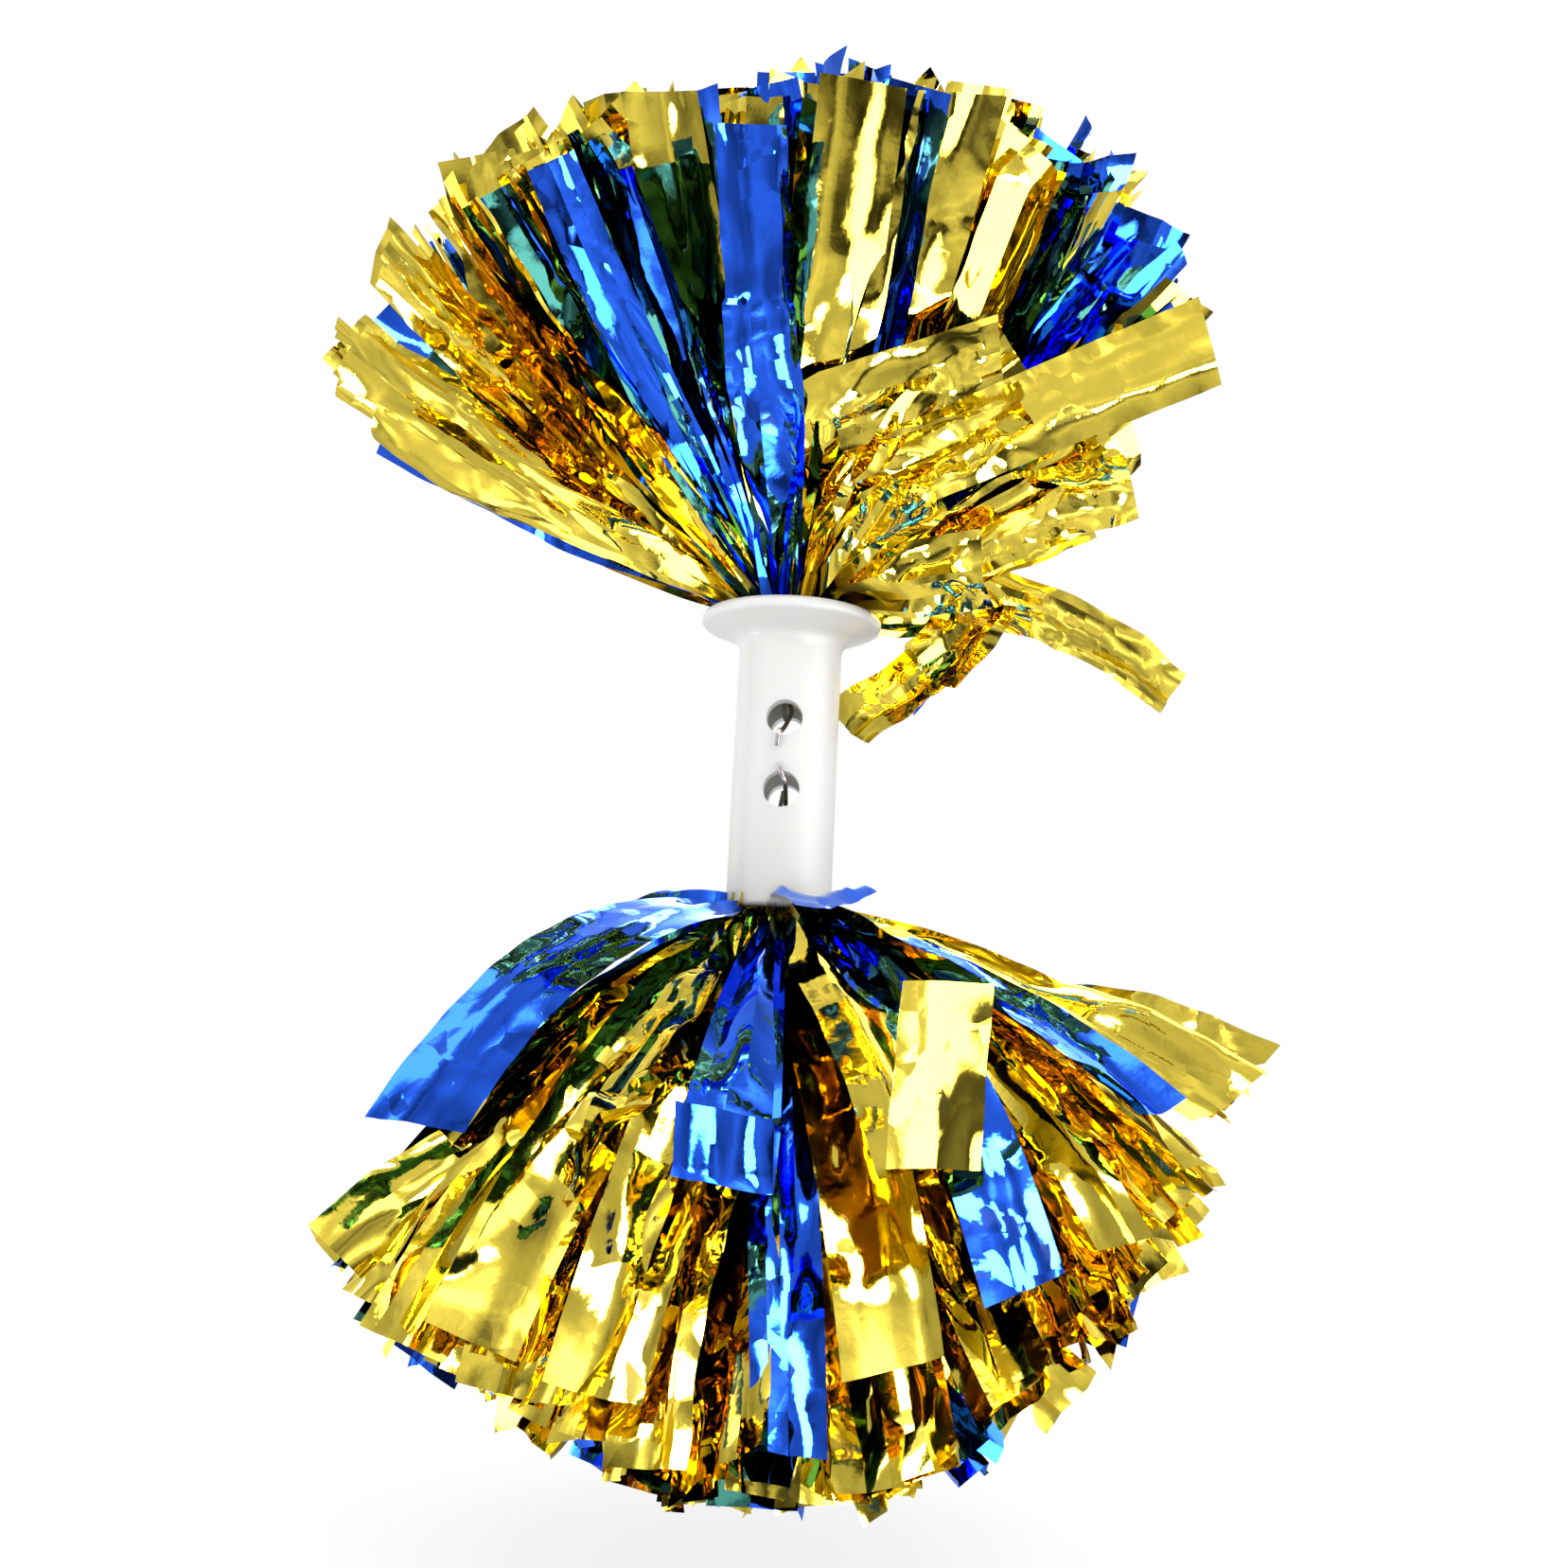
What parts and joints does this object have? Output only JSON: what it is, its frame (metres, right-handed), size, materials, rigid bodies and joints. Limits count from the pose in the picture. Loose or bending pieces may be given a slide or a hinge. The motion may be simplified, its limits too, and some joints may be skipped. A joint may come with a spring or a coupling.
{
  "type": "cheer pom pom",
  "caption": "Two-ended cheer pom pom: hollow white baton handle with an end flange and a large fluffy burst of gold and blue foil streamers at each mouth.",
  "frame": {"origin": "centre of the handle on its axis", "axes": "+Z along the handle towards the flanged end; -Y is the front, the side on which the wire ends show in the two access holes; +X is to the right seen from the front"},
  "size_m": [0.2813, 0.2675, 0.3884],
  "materials": {
    "handle_plastic": "satin milky white moulded polypropylene",
    "tie_wire": "bare round steel wire",
    "gold_foil": "mirror metallised plastic film, crinkled",
    "blue_foil": "mirror metallised plastic film, crinkled"
  },
  "bodies": {
    "handle": {"handle": "handle_plastic", "upper_tie_wire": "tie_wire", "lower_tie_wire": "tie_wire", "upper_bundle_root": "gold_foil", "lower_bundle_root": "gold_foil"},
    "upper_front_streamers": {"upper_front_gold_streamers": "gold_foil", "upper_front_blue_streamers": "blue_foil"},
    "upper_front_right_streamers": {"upper_front_right_gold_streamers": "gold_foil", "upper_front_right_blue_streamers": "blue_foil"},
    "upper_back_right_streamers": {"upper_back_right_gold_streamers": "gold_foil", "upper_back_right_blue_streamers": "blue_foil"},
    "upper_back_streamers": {"upper_back_gold_streamers": "gold_foil", "upper_back_blue_streamers": "blue_foil"},
    "upper_back_left_streamers": {"upper_back_left_gold_streamers": "gold_foil", "upper_back_left_blue_streamers": "blue_foil"},
    "upper_front_left_streamers": {"upper_front_left_gold_streamers": "gold_foil", "upper_front_left_blue_streamers": "blue_foil"},
    "upper_inner_front_streamers": {"upper_inner_front_gold_streamers": "gold_foil", "upper_inner_front_blue_streamers": "blue_foil"},
    "upper_inner_right_streamers": {"upper_inner_right_gold_streamers": "gold_foil", "upper_inner_right_blue_streamers": "blue_foil"},
    "upper_inner_left_streamers": {"upper_inner_left_gold_streamers": "gold_foil", "upper_inner_left_blue_streamers": "blue_foil"},
    "upper_crown_streamers": {"upper_crown_gold_streamers": "gold_foil", "upper_crown_blue_streamers": "blue_foil"},
    "lower_front_streamers": {"lower_front_gold_streamers": "gold_foil", "lower_front_blue_streamers": "blue_foil", "lower_folded_gold_streamer": "gold_foil", "lower_folded_blue_streamer": "blue_foil"},
    "lower_front_right_streamers": {"lower_front_right_gold_streamers": "gold_foil", "lower_front_right_blue_streamers": "blue_foil"},
    "lower_back_right_streamers": {"lower_back_right_gold_streamers": "gold_foil", "lower_back_right_blue_streamers": "blue_foil"},
    "lower_back_streamers": {"lower_back_gold_streamers": "gold_foil", "lower_back_blue_streamers": "blue_foil"},
    "lower_back_left_streamers": {"lower_back_left_gold_streamers": "gold_foil", "lower_back_left_blue_streamers": "blue_foil"},
    "lower_front_left_streamers": {"lower_front_left_gold_streamers": "gold_foil", "lower_front_left_blue_streamers": "blue_foil"},
    "lower_inner_front_streamers": {"lower_inner_front_gold_streamers": "gold_foil", "lower_inner_front_blue_streamers": "blue_foil"},
    "lower_inner_right_streamers": {"lower_inner_right_gold_streamers": "gold_foil", "lower_inner_right_blue_streamers": "blue_foil"},
    "lower_inner_left_streamers": {"lower_inner_left_gold_streamers": "gold_foil", "lower_inner_left_blue_streamers": "blue_foil"},
    "lower_crown_streamers": {"lower_crown_gold_streamers": "gold_foil", "lower_crown_blue_streamers": "blue_foil"},
    "upper_loose_gold_streamer_body": {"upper_loose_gold_streamer": "gold_foil"},
    "upper_loose_blue_streamer_body": {"upper_loose_blue_streamer": "blue_foil"},
    "upper_loose_crumpled_streamer_body": {"upper_loose_crumpled_streamer": "gold_foil"}
  },
  "joints": [
    {"name": "upper_front_flex", "type": "hinge", "parent": "handle", "child": "upper_front_streamers", "pos_m": [0, -0.0108, 0.0416], "axis": [1, 0, 0], "range_deg": [-6, 14], "stiffness_Nm_per_rad": 0.05},
    {"name": "upper_front_right_flex", "type": "hinge", "parent": "handle", "child": "upper_front_right_streamers", "pos_m": [0.00935, -0.0054, 0.0416], "axis": [0.5, 0.866, 0], "range_deg": [-6, 14], "stiffness_Nm_per_rad": 0.05},
    {"name": "upper_back_right_flex", "type": "hinge", "parent": "handle", "child": "upper_back_right_streamers", "pos_m": [0.00935, 0.0054, 0.0416], "axis": [-0.5, 0.866, 0], "range_deg": [-6, 14], "stiffness_Nm_per_rad": 0.05},
    {"name": "upper_back_flex", "type": "hinge", "parent": "handle", "child": "upper_back_streamers", "pos_m": [0, 0.0108, 0.0416], "axis": [-1, 0, 0], "range_deg": [-6, 14], "stiffness_Nm_per_rad": 0.05},
    {"name": "upper_back_left_flex", "type": "hinge", "parent": "handle", "child": "upper_back_left_streamers", "pos_m": [-0.00935, 0.0054, 0.0416], "axis": [-0.5, -0.866, 0], "range_deg": [-6, 14], "stiffness_Nm_per_rad": 0.05},
    {"name": "upper_front_left_flex", "type": "hinge", "parent": "handle", "child": "upper_front_left_streamers", "pos_m": [-0.00935, -0.0054, 0.0416], "axis": [0.5, -0.866, 0], "range_deg": [-6, 14], "stiffness_Nm_per_rad": 0.05},
    {"name": "upper_inner_front_flex", "type": "hinge", "parent": "handle", "child": "upper_inner_front_streamers", "pos_m": [0, -0.0066, 0.0442], "axis": [1, 0, 0], "range_deg": [-4, 4], "stiffness_Nm_per_rad": 0.05},
    {"name": "upper_inner_right_flex", "type": "hinge", "parent": "handle", "child": "upper_inner_right_streamers", "pos_m": [0.00572, 0.0033, 0.0442], "axis": [-0.5, 0.866, 0], "range_deg": [-4, 4], "stiffness_Nm_per_rad": 0.05},
    {"name": "upper_inner_left_flex", "type": "hinge", "parent": "handle", "child": "upper_inner_left_streamers", "pos_m": [-0.00572, 0.0033, 0.0442], "axis": [-0.5, -0.866, 0], "range_deg": [-4, 4], "stiffness_Nm_per_rad": 0.05},
    {"name": "upper_crown_flex", "type": "hinge", "parent": "handle", "child": "upper_crown_streamers", "pos_m": [0, 0, 0.0462], "axis": [1, 0, 0], "range_deg": [-4, 4], "stiffness_Nm_per_rad": 0.05},
    {"name": "lower_front_flex", "type": "hinge", "parent": "handle", "child": "lower_front_streamers", "pos_m": [0, -0.0156, -0.0416], "axis": [-1, 0, 0], "range_deg": [-8, 18], "stiffness_Nm_per_rad": 0.05},
    {"name": "lower_front_right_flex", "type": "hinge", "parent": "handle", "child": "lower_front_right_streamers", "pos_m": [0.01351, -0.0078, -0.0416], "axis": [-0.5, -0.866, 0], "range_deg": [-8, 18], "stiffness_Nm_per_rad": 0.05},
    {"name": "lower_back_right_flex", "type": "hinge", "parent": "handle", "child": "lower_back_right_streamers", "pos_m": [0.01351, 0.0078, -0.0416], "axis": [0.5, -0.866, 0], "range_deg": [-8, 18], "stiffness_Nm_per_rad": 0.05},
    {"name": "lower_back_flex", "type": "hinge", "parent": "handle", "child": "lower_back_streamers", "pos_m": [0, 0.0156, -0.0416], "axis": [1, 0, 0], "range_deg": [-8, 18], "stiffness_Nm_per_rad": 0.05},
    {"name": "lower_back_left_flex", "type": "hinge", "parent": "handle", "child": "lower_back_left_streamers", "pos_m": [-0.01351, 0.0078, -0.0416], "axis": [0.5, 0.866, 0], "range_deg": [-8, 18], "stiffness_Nm_per_rad": 0.05},
    {"name": "lower_front_left_flex", "type": "hinge", "parent": "handle", "child": "lower_front_left_streamers", "pos_m": [-0.01351, -0.0078, -0.0416], "axis": [-0.5, 0.866, 0], "range_deg": [-8, 18], "stiffness_Nm_per_rad": 0.05},
    {"name": "lower_inner_front_flex", "type": "hinge", "parent": "handle", "child": "lower_inner_front_streamers", "pos_m": [0, -0.0066, -0.0442], "axis": [-1, 0, 0], "range_deg": [-4, 4], "stiffness_Nm_per_rad": 0.05},
    {"name": "lower_inner_right_flex", "type": "hinge", "parent": "handle", "child": "lower_inner_right_streamers", "pos_m": [0.00572, 0.0033, -0.0442], "axis": [0.5, -0.866, 0], "range_deg": [-4, 4], "stiffness_Nm_per_rad": 0.05},
    {"name": "lower_inner_left_flex", "type": "hinge", "parent": "handle", "child": "lower_inner_left_streamers", "pos_m": [-0.00572, 0.0033, -0.0442], "axis": [0.5, 0.866, 0], "range_deg": [-4, 4], "stiffness_Nm_per_rad": 0.05},
    {"name": "lower_crown_flex", "type": "hinge", "parent": "handle", "child": "lower_crown_streamers", "pos_m": [0, 0, -0.0462], "axis": [1, 0, 0], "range_deg": [-4, 4], "stiffness_Nm_per_rad": 0.05},
    {"name": "upper_loose_gold_flex", "type": "hinge", "parent": "handle", "child": "upper_loose_gold_streamer_body", "pos_m": [0.0247, 0.00708, 0.0395], "axis": [-0.2756, 0.9613, 0], "range_deg": [-8, 8], "stiffness_Nm_per_rad": 0.02},
    {"name": "upper_loose_blue_flex", "type": "hinge", "parent": "handle", "child": "upper_loose_blue_streamer_body", "pos_m": [0.01969, 0.01652, 0.0395], "axis": [-0.6428, 0.766, 0], "range_deg": [-8, 8], "stiffness_Nm_per_rad": 0.02},
    {"name": "upper_loose_crumpled_flex", "type": "hinge", "parent": "handle", "child": "upper_loose_crumpled_streamer_body", "pos_m": [0.01127, 0.0231, 0.0395], "axis": [-0.8988, 0.4384, 0], "range_deg": [-8, 8], "stiffness_Nm_per_rad": 0.02}
  ]
}
